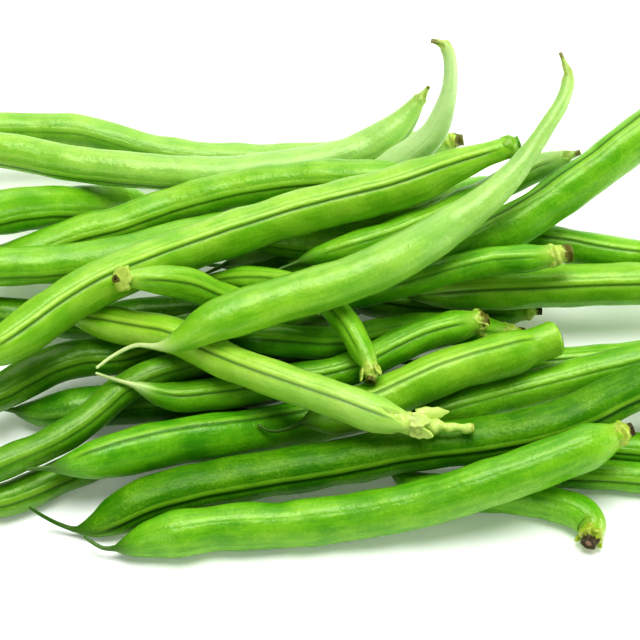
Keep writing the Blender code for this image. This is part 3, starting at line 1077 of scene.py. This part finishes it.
@dataclass(frozen=True)
class PodSkin:
    """The waxy skin of one pod, from its stem cut to its tail.

    Attributes:
        name: the material's name.
        rich: the deeper green of the skin.
        light: the lighter green that mottles it.
        collar: the calyx.
        cut: the dried cut of the stem.
        thread: the tail.
        line_share: how strongly the lines beside the seam show.
        bleach_share: how strongly the painted glare shows.
        dry_reach: how far the drying reaches from the cut.
        fade: how strongly the green fades towards the collar.
        collar_share: how strongly the collar shows.
        gloss: how strongly the skin mirrors light.
    """

    name: str
    rich: Colour
    light: Colour
    collar: Colour
    cut: DriedEnd
    thread: Colour
    line_share: float
    bleach_share: float
    dry_reach: float
    fade: float
    collar_share: float
    gloss: float

    # Each green from tone 0 to tone 1, and the darker greens mixed in as painted shade for pods in
    # the heap's shade.
    RICH = ((0.040, 0.285, 0.0), (0.27, 0.57, 0.02))
    LIGHT = ((0.145, 0.46, 0.0), (0.41, 0.65, 0.07))
    DEEP_RICH = (0.012, 0.10, 0.002)
    DEEP_LIGHT = (0.05, 0.20, 0.003)
    DEEP_SHARE = 0.45

    SEAM_STRIP = (0.52, 0.72, 0.09)
    SEAM_LINE = (0.016, 0.085, 0.0)
    SCAR = (0.16, 0.20, 0.03)
    # The pale green of the painted glare that washes out some stem ends.
    PAINTED_GLARE = (0.55, 0.74, 0.36)
    PALE_THREAD = (0.62, 0.72, 0.36)
    DARK_THREAD = (0.05, 0.13, 0.02)
    COLLARS = {
        StemEnd.CUT: (0.42, 0.55, 0.06),
        StemEnd.PALE: (0.50, 0.64, 0.13),
        StemEnd.RAGGED: (0.56, 0.74, 0.20),
    }
    WITHERED_COLLAR = (0.50, 0.52, 0.22)
    GREEN_COLLAR = (0.05, 0.20, 0.0)

    SCARS = Cloud(230.0, 3.0, 0.6)
    # How strongly each layer of colour shows.
    SPECK_AND_GLINT_SHARE = 0.40
    PIT_SHARE = 0.13
    SCAR_SHARE = 0.30
    STRIP_SHARE = 0.55
    THREAD_SHARE = 0.9
    FADE_SHARE = 0.40

    # Between which values of its pattern each layer comes in.
    MOTTLE_STEP = (0.36, 0.62)
    SPECK_AND_GLINT_STEP = (0.74, 0.98)
    PIT_STEP = (0.42, 0.28)
    SCAR_STEP = (0.66, 0.73)
    LINE_STEP = (0.0, 0.40)
    COLLAR_STEP = (0.35, 0.65)
    DRY_STEP = (0.15, 0.5)
    HEART_STEP = (0.45, 0.72)

    # The roughness, and what fine clouds, drying and the seam lines add to it.
    ROUGHNESS = 0.36
    CLOUD_ROUGHNESS = 0.16
    DRY_ROUGHNESS = 0.35
    LINE_ROUGHNESS = 0.35

    # The parts of the finest relief, its strength, and its height in metres.
    DIMPLES = Cloud(520.0, 2.0, 0.55)
    FINE_HEIGHT = 0.8
    GRAIN_HEIGHT = 0.5
    STREAK_HEIGHT = 0.4
    DIMPLE_HEIGHT = 1.15
    RELIEF_STRENGTH = 0.55
    RELIEF_HEIGHT = 0.00022

    @classmethod
    def of(cls, pod: Pod) -> "PodSkin":
        """Choose the colours of a pod.

        Args:
            pod: the pod to dress.

        Returns:
            Its skin.
        """
        # Painted shade: a shade below 1 darkens the whole pod.
        rich = blend_colours(BLACK, blend_colours(*cls.RICH, pod.tone), pod.shade)
        light = blend_colours(BLACK, blend_colours(*cls.LIGHT, pod.tone), pod.shade)
        # Painted shade: pods of the deep slot get darker greens mixed in.
        if pod.skin is Skin.DEEP:
            rich = blend_colours(rich, cls.DEEP_RICH, cls.DEEP_SHARE)
            light = blend_colours(light, cls.DEEP_LIGHT, cls.DEEP_SHARE)
        cut = DRIED_ENDS[pod.stem]
        return cls(
            name=pod.node + "_skin",
            rich=rich,
            light=light,
            collar=cls.collar_of(pod.stem, light),
            cut=cut,
            thread=cls.PALE_THREAD if pod.pale_tail else cls.DARK_THREAD,
            line_share=pod.groove,
            bleach_share=pod.bleach,
            dry_reach=cut.reach * pod.dryness_and_shade,
            fade=0.0 if pod.stem in (StemEnd.GREEN, StemEnd.BLUNT) else cls.FADE_SHARE,
            collar_share=0.2 if pod.stem is StemEnd.BLUNT else 1.0,
            gloss=pod.gloss,
        )

    @classmethod
    def collar_of(cls, stem: StemEnd, light: Colour) -> Colour:
        """Choose the calyx's colour.

        Args:
            stem: how the pod ends at its stem.
            light: the pod's lighter green.

        Returns:
            The colour.
        """
        if stem is StemEnd.WITHERED:
            return blend_colours(light, cls.WITHERED_COLLAR, 0.5)
        if stem is StemEnd.GREEN:
            return blend_colours(light, cls.GREEN_COLLAR, 0.4)
        return cls.COLLARS.get(stem, light)

    def material(self) -> bpy.types.Material:
        """Build the skin's nodes.

        Returns:
            The material.
        """
        made = bpy.data.materials.new(self.name)
        made.use_nodes = True
        book = NodeBook(made)
        pattern = SkinPattern.of(book)
        colour = self.body_colour(book, pattern)
        dried = self.dried_share(book, pattern)
        colour = self.end_colour(book, pattern, colour, dried)
        rough = book.plus(self.ROUGHNESS, book.times(pattern.fine, self.CLOUD_ROUGHNESS))
        rough = book.plus(rough, book.times(dried, self.DRY_ROUGHNESS))
        rough = book.plus(rough, book.times(book.mask("line"), self.LINE_ROUGHNESS))
        book.finish(colour, rough, self.relief(book, pattern), self.gloss)
        return made

    def body_colour(self, book: "NodeBook", pattern: SkinPattern) -> Socket:
        """Mottle the green, speck it with pale specks that are partly painted glints, and draw the
        seam strip and its lines.

        Args:
            book: the material's nodes.
            pattern: its patterns.

        Returns:
            The colour.
        """
        strip = blend_colours(self.light, self.SEAM_STRIP, 0.35)
        line = blend_colours(self.rich, self.SEAM_LINE, 0.8)
        scar = blend_colours(self.rich, self.SCAR, 0.5)
        mottle = book.plus(book.times(pattern.broad, 0.55), book.times(pattern.streaks, 0.45))
        colour = book.mix(book.ramp(mottle, *self.MOTTLE_STEP), self.rich, self.light)
        # Pale specks: partly the skin's own fine speckle, partly painted glints of light.
        uneven = book.plus(pattern.grain, book.times(pattern.broad, 0.5))
        specks_and_glints = book.ramp(uneven, *self.SPECK_AND_GLINT_STEP)
        colour = book.mix(book.times(specks_and_glints, self.SPECK_AND_GLINT_SHARE), colour, strip)
        pits = book.ramp(pattern.grain, *self.PIT_STEP)
        colour = book.mix(book.times(pits, self.PIT_SHARE), colour, line)
        scars = book.ramp(book.noise(pattern.place, self.SCARS), *self.SCAR_STEP)
        colour = book.mix(book.times(scars, self.SCAR_SHARE), colour, scar)
        colour = book.mix(book.times(book.mask("strip"), self.STRIP_SHARE), colour, strip)
        broken = book.times(book.mask("line"), book.ramp(pattern.streaks, *self.LINE_STEP))
        return book.mix(book.times(broken, self.line_share), colour, line)

    def end_colour(self, book: "NodeBook", pattern: SkinPattern, colour: Socket,
                   dried: Socket) -> Socket:
        """Pale the stem's side with painted glare, and colour the tail, the collar and the cut.

        Args:
            book: the material's nodes.
            pattern: its patterns.
            colour: the colour of the body.
            dried: how dry the skin is.

        Returns:
            The colour.
        """
        # Painted glare: the stem's side is paled as if washed out by light.
        bleach = book.times(book.mask("bleach"), self.bleach_share)
        colour = book.mix(bleach, colour, self.PAINTED_GLARE)
        colour = book.mix(book.times(book.mask("fade"), self.fade), colour, self.collar)
        colour = book.mix(book.times(book.mask("thread"), self.THREAD_SHARE), colour, self.thread)
        dull = blend_colours(self.collar, self.cut.dry, 0.22)
        collar = book.mix(book.ramp(pattern.fine, *self.COLLAR_STEP), self.collar, dull)
        colour = book.mix(book.times(book.mask("calyx"), self.collar_share), colour, collar)
        colour = book.mix(dried, colour, self.cut.dry)
        middle = book.ramp(book.mask("face"), *self.HEART_STEP)
        return book.mix(middle, colour, self.cut.heart)

    def dried_share(self, book: "NodeBook", pattern: SkinPattern) -> Socket:
        """Dry the collar unevenly near the cut.

        Args:
            book: the material's nodes.
            pattern: its patterns.

        Returns:
            How dry the skin is.
        """
        near = book.math("SUBTRACT", 1.0, book.math("DIVIDE", book.mask("stem"), self.dry_reach))
        uneven = book.times(book.math("SUBTRACT", pattern.fine, 0.5), 1.4)
        dried = book.ramp(book.plus(near, uneven), *self.DRY_STEP)
        return book.times(dried, book.mask("calyx"))

    def relief(self, book: "NodeBook", pattern: SkinPattern) -> Socket:
        """Add the finest relief of the skin.

        Args:
            book: the material's nodes.
            pattern: its patterns.

        Returns:
            The surface's direction.
        """
        dimples = book.noise(pattern.place, self.DIMPLES)
        height = book.times(pattern.fine, self.FINE_HEIGHT)
        height = book.plus(height, book.times(pattern.grain, self.GRAIN_HEIGHT))
        height = book.plus(height, book.times(pattern.streaks, self.STREAK_HEIGHT))
        height = book.plus(height, book.times(dimples, self.DIMPLE_HEIGHT))
        return book.bumped(height, self.RELIEF_STRENGTH, self.RELIEF_HEIGHT)


class NodeBook:
    """Adds and joins the nodes of one material."""

    # The shader of a fresh, waxy, slightly translucent skin.
    WAXY = {
        "Subsurface Weight": 0.25,
        "Subsurface Radius": (0.6, 1.0, 0.15),
        "Subsurface Scale": 0.002,
        "Specular Tint": (0.95, 1.0, 0.6, 1.0),
        "Sheen Weight": 0.03,
        "Sheen Tint": (0.7, 1.0, 0.4, 1.0),
        "Sheen Roughness": 0.4,
        "Coat Roughness": 0.24,
    }
    SPECULAR = 0.55
    COAT = 0.42
    # A colour mix's sockets by number, because the node has sockets of the same name for numbers.
    MIX_SHARE, MIX_FIRST, MIX_SECOND, MIX_RESULT = 0, 6, 7, 2

    def __init__(self, material: bpy.types.Material) -> None:
        """Start from the material's own shader."""
        self.tree = material.node_tree
        self.shader = self.tree.nodes["Principled BSDF"]

    def put(self, socket: Socket, value: object) -> None:
        """Fill a socket.

        Args:
            socket: the socket to fill.
            value: another socket to join it to, or its number or colour.
        """
        if isinstance(value, bpy.types.NodeSocket):
            self.tree.links.new(value, socket)
        else:
            socket.default_value = (*value, 1.0) if isinstance(value, tuple) else value

    def coordinates(self, kind: str) -> Socket:
        """The texture coordinate of a kind."""
        return self.tree.nodes.new("ShaderNodeTexCoord").outputs[kind]

    def stretched(self, kind: str, scale: Place) -> Socket:
        """Scale a texture coordinate.

        Args:
            kind: the coordinate's kind.
            scale: its scale along each axis.

        Returns:
            The scaled coordinate.
        """
        mapping = self.tree.nodes.new("ShaderNodeMapping")
        self.put(mapping.inputs["Vector"], self.coordinates(kind))
        mapping.inputs["Scale"].default_value = scale
        return mapping.outputs["Vector"]

    def noise(self, place: Socket, cloud: Cloud) -> Socket:
        """Add a cloudy pattern.

        Args:
            place: the point where it is read.
            cloud: its sizes.

        Returns:
            The pattern, between 0 and 1.
        """
        node = self.tree.nodes.new("ShaderNodeTexNoise")
        self.put(node.inputs["Vector"], place)
        node.inputs["Scale"].default_value = cloud.scale
        node.inputs["Detail"].default_value = cloud.detail
        node.inputs["Roughness"].default_value = cloud.rough
        return node.outputs["Fac"]

    def mask(self, name: str) -> Socket:
        """Read a number that the piece keeps at each vertex.

        Args:
            name: the attribute's name.

        Returns:
            The number.
        """
        node = self.tree.nodes.new("ShaderNodeAttribute")
        node.attribute_name = name
        return node.outputs["Fac"]

    def math(self, operation: str, first: object, second: object) -> Socket:
        """Work out one sum.

        Args:
            operation: the kind of sum.
            first: its first number.
            second: its second number.

        Returns:
            The result.
        """
        node = self.tree.nodes.new("ShaderNodeMath")
        node.operation = operation
        self.put(node.inputs[0], first)
        self.put(node.inputs[1], second)
        return node.outputs[0]

    def plus(self, first: object, second: object) -> Socket:
        """The sum of two numbers."""
        return self.math("ADD", first, second)

    def times(self, first: object, second: object) -> Socket:
        """The product of two numbers."""
        return self.math("MULTIPLY", first, second)

    def ramp(self, value: Socket, low: float, high: float) -> Socket:
        """Rise smoothly from 0 at low to 1 at high.

        Args:
            value: where the step is read.
            low: where it starts.
            high: where it ends.

        Returns:
            The step.
        """
        node = self.tree.nodes.new("ShaderNodeMapRange")
        node.interpolation_type = "SMOOTHSTEP"
        self.put(node.inputs["Value"], value)
        node.inputs["From Min"].default_value = low
        node.inputs["From Max"].default_value = high
        return node.outputs["Result"]

    def mix(self, share: Socket, first: object, second: object) -> Socket:
        """Mix two colours.

        Args:
            share: how much of the second colour.
            first: the first colour.
            second: the second colour.

        Returns:
            The mixed colour.
        """
        node = self.tree.nodes.new("ShaderNodeMix")
        node.data_type = "RGBA"
        self.put(node.inputs[self.MIX_SHARE], share)
        self.put(node.inputs[self.MIX_FIRST], first)
        self.put(node.inputs[self.MIX_SECOND], second)
        return node.outputs[self.MIX_RESULT]

    def bumped(self, height: Socket, strength: float, distance: float) -> Socket:
        """Turn a height into a fine relief.

        Args:
            height: the surface's height.
            strength: how strong the relief is.
            distance: how high a height of 1 is, in metres.

        Returns:
            The surface's direction.
        """
        node = self.tree.nodes.new("ShaderNodeBump")
        node.inputs["Strength"].default_value = strength
        node.inputs["Distance"].default_value = distance
        self.put(node.inputs["Height"], height)
        return node.outputs["Normal"]

    def finish(self, colour: Socket, rough: Socket, normal: Socket, gloss: float) -> None:
        """Set the shader.

        Args:
            colour: the skin's colour.
            rough: its roughness.
            normal: its relief.
            gloss: how strongly it mirrors light, 1 for as usual.
        """
        inputs = self.shader.inputs
        self.put(inputs["Base Color"], colour)
        self.put(inputs["Roughness"], rough)
        self.put(inputs["Normal"], normal)
        self.put(inputs["Coat Normal"], normal)
        for name, value in self.WAXY.items():
            inputs[name].default_value = value
        inputs["Specular IOR Level"].default_value = self.SPECULAR * gloss
        inputs["Coat Weight"].default_value = self.COAT * gloss


@dataclass(frozen=True)
class Lamp:
    """One soft light that faces the heap.

    Attributes:
        name: the light's name.
        kind: the kind of light.
        place: where it hangs, in metres.
        size: the sun's angle in degrees, or a panel's width in metres.
        power: its strength, in watts for a panel.
    """

    name: str
    kind: LampKind
    place: Place
    size: float
    power: float

    def build(self) -> None:
        """Hang the light."""
        light = bpy.data.lights.new(self.name, self.kind.value)
        if self.kind is LampKind.SUN:
            light.angle = math.radians(self.size)
        else:
            light.size = self.size
        light.energy = self.power
        lamp = bpy.data.objects.new(self.name, light)
        bpy.context.scene.collection.objects.link(lamp)
        lamp.location = self.place
        lamp.rotation_mode = "QUATERNION"
        lamp.rotation_quaternion = (-Vector(self.place)).to_track_quat("-Z", "Y")


@dataclass
class Studio:
    """The pale floor, the soft lights and the camera.

    Attributes:
        lamps: the lights.
        floor_size: the floor's width, in metres.
        floor_drop: how far the floor lies below the heap, in metres.
        aim: the point that the camera looks at.
        height_angle: the camera's angle above the floor, in degrees.
        distance: the camera's distance from the point.
        lens: the camera's lens.
        film: the width of the camera's film.
    """

    lamps: Tuple[Lamp, ...] = (
        Lamp("key_light", LampKind.SUN, (0.06, 0.04, 1.0), 42.0, 2.30),
        Lamp("back_panel", LampKind.PANEL, (0.0, 0.75, 0.50), 0.8, 2.5),
        Lamp("front_panel", LampKind.PANEL, (-0.40, -0.70, 0.42), 0.4, 1.3),
        Lamp("right_panel", LampKind.PANEL, (0.75, 0.05, 0.16), 0.3, 1.9),
    )
    floor_size: float = 6.0
    floor_drop: float = 0.0001
    aim: Place = (1.437, -10.6, 20.0)
    height_angle: float = 45.0
    distance: float = 640.0
    lens: float = 180.0
    film: float = 36.0

    PALE_FLOOR = {
        "Base Color": (0.93, 0.94, 0.93, 1.0),
        "Roughness": 0.9,
        "Specular IOR Level": 0.2,
        "Emission Color": (1.0, 1.0, 1.0, 1.0),
        "Emission Strength": 0.09,
    }
    ROOM = {"Color": (0.90, 0.98, 0.88, 1.0), "Strength": 0.09}

    def build(self) -> None:
        """Set up the floor, the lights, the world and the camera."""
        self.add_floor()
        for lamp in self.lamps:
            lamp.build()
        self.set_world()
        self.add_camera()
        view = bpy.context.scene.view_settings
        view.view_transform = "Standard"
        view.look = "High Contrast"

    def add_floor(self) -> None:
        """Lay the pale floor."""
        bpy.ops.object.select_all(action="DESELECT")
        bpy.ops.mesh.primitive_plane_add(
            size=self.floor_size, location=(0.0, 0.0, -self.floor_drop))
        floor = bpy.context.active_object
        floor.name = "floor"
        made = bpy.data.materials.new("pale_floor")
        made.use_nodes = True
        shader = made.node_tree.nodes["Principled BSDF"]
        for name, value in self.PALE_FLOOR.items():
            shader.inputs[name].default_value = value
        floor.data.materials.append(made)

    def set_world(self) -> None:
        """Fill the shadows softly from all round."""
        world = bpy.data.worlds.new("soft_room")
        world.use_nodes = True
        background = world.node_tree.nodes["Background"]
        for name, value in self.ROOM.items():
            background.inputs[name].default_value = value
        bpy.context.scene.world = world

    def add_camera(self) -> None:
        """Place the camera."""
        optics = bpy.data.cameras.new("camera")
        optics.lens = self.lens
        optics.sensor_width = self.film
        optics.clip_start = 0.01
        optics.clip_end = 50.0
        camera = bpy.data.objects.new("camera", optics)
        bpy.context.scene.collection.objects.link(camera)
        rise = math.radians(self.height_angle)
        aim = Vector(self.aim) * MILLIMETRE
        back = Vector((0.0, -math.cos(rise), math.sin(rise)))
        camera.location = aim + back * self.distance * MILLIMETRE
        camera.rotation_mode = "QUATERNION"
        camera.rotation_quaternion = (-back).to_track_quat("-Z", "Y")
        bpy.context.scene.camera = camera


TORN_CALYX = (
    Sepal(11.4, 78.0, 6.6, 2.8, 17.0, on_edge=True),
    Sepal(12.6, 10.0, 4.0, 3.2, 2.0),
    Sepal(12.2, -50.0, 4.6, 3.0, 2.0),
)

CUT_CALYX = (
    Sepal(2.3, 30.0, 1.4, 1.3, 20.0),
    Sepal(2.2, 140.0, 1.3, 1.2, 30.0),
    Sepal(2.3, 260.0, 1.5, 1.2, 24.0),
)

SMALL_CALYX = (
    Sepal(2.8, 60.0, 2.6, 1.6, 8.0),
    Sepal(2.8, 185.0, 2.2, 1.6, 12.0),
    Sepal(2.8, 300.0, 2.8, 1.6, 6.0),
)

BROKEN_CALYX = (
    Sepal(2.6, 235.0, 3.4, 2.2, 24.0),
    Sepal(2.6, 320.0, 2.0, 1.8, 10.0),
)

# Some pods are paled towards their stem ends, as painted glare of washed-out light.
PODS = (
    Pod("pod_front_long", 0.27, StemEnd.CUT, groove=0.0, seeds=0.16),
    # Its low shade darkens it as painted shade, where the heap shades it.
    Pod("pod_front_second", 0.16, StemEnd.CUT, groove=1.4, seeds=0.14, shade=0.64, gloss=0.4),
    Pod("pod_cut_stub", 0.24, StemEnd.CUT, groove=0.1, swell=1.08, sepals=CUT_CALYX),
    Pod("pod_floor_right", 0.28),
    Pod("pod_floor_inner", 0.22),
    # Its dark dried stem end reaches farther than usual: partly real drying, partly painted shade
    # from the pods above it.
    Pod("pod_short_pointed", 0.32, StemEnd.PALE, groove=0.8, pale_tail=True, dryness_and_shade=1.2,
        sepals=BROKEN_CALYX),
    Pod("pod_ragged_stem", 0.95, StemEnd.RAGGED, groove=0.9, bleach=0.25, painted_glare_reach=70.0,
        sepals=TORN_CALYX),
    Pod("pod_short_hooked", 0.68, StemEnd.BLUNT, groove=0.7, swell=1.22),
    Pod("pod_top_crossing", 0.52, StemEnd.WITHERED, groove=0.35, pale_tail=True, seeds=0.1,
        bleach=0.44, painted_glare_reach=95.0),
    Pod("pod_top_long", 0.68, StemEnd.GREEN, groove=0.95, seeds=0.1),
    Pod("pod_upper_left", 0.52, groove=0.8),
    Pod("pod_under_top", 0.38, groove=0.6),
    # Its low shade darkens it as painted shade, deep in the heap.
    Pod("pod_left_inner", 0.16, groove=0.6, shade=0.7),
    Pod("pod_left_stub", 0.45, groove=0.9),
    Pod("pod_back_bowed", 0.68, StemEnd.WITHERED, groove=0.9, bleach=0.4, painted_glare_reach=120.0,
        dryness_and_shade=0.5),
    Pod("pod_back_far", 0.60, StemEnd.PALE, groove=0.3, bleach=0.25, painted_glare_reach=140.0),
    Pod("pod_standing", 1.0, StemEnd.WITHERED, groove=0.15, seeds=0.05, bleach=0.9,
        painted_glare_reach=120.0),
    Pod("pod_upper_right", 0.32, groove=0.9),
    Pod("pod_small_stem", 0.22, StemEnd.PALE, groove=0.5),
    Pod("pod_right_inner", 0.40, groove=0.8),
    Pod("pod_right_level", 0.60, groove=0.9),
    Pod("pod_right_shaded", 0.15, skin=Skin.DEEP),
    Pod("pod_floor_back", 0.35),
    Pod("pod_right_middle", 0.35, groove=0.5),
    Pod("pod_left_broad", 0.14, groove=0.8, seeds=0.14),
    Pod("pod_floor_left", 0.40, skin=Skin.DEEP),
    Pod("pod_left_rising", 0.40, skin=Skin.DEEP, groove=0.5),
    Pod("pod_left_pointed", 0.10, skin=Skin.DEEP, groove=0.4),
    Pod("pod_left_tucked", 0.35, skin=Skin.DEEP, groove=0.8),
    Pod("pod_small_calyx", 0.52, StemEnd.PALE, groove=0.6, dryness_and_shade=0.5, sepals=SMALL_CALYX),
    Pod("pod_inner_shaded", 0.25),
    Pod("pod_behind_top", 0.45, StemEnd.WITHERED, groove=0.5, bleach=0.5, painted_glare_reach=20.0),
    Pod("pod_facing_stem", 0.55, StemEnd.PALE, groove=0.8, swell=1.6, dryness_and_shade=0.2,
        facing=(-0.70, -0.50, 0.50)),
)


def main() -> None:
    """Build every pod and the studio; each pod logs how many rings and sides it has."""
    logging.basicConfig(level=logging.INFO, format="%(message)s")
    for pod in PODS:
        pod.build()
    Studio().build()


if __name__ == "__main__":
    main()
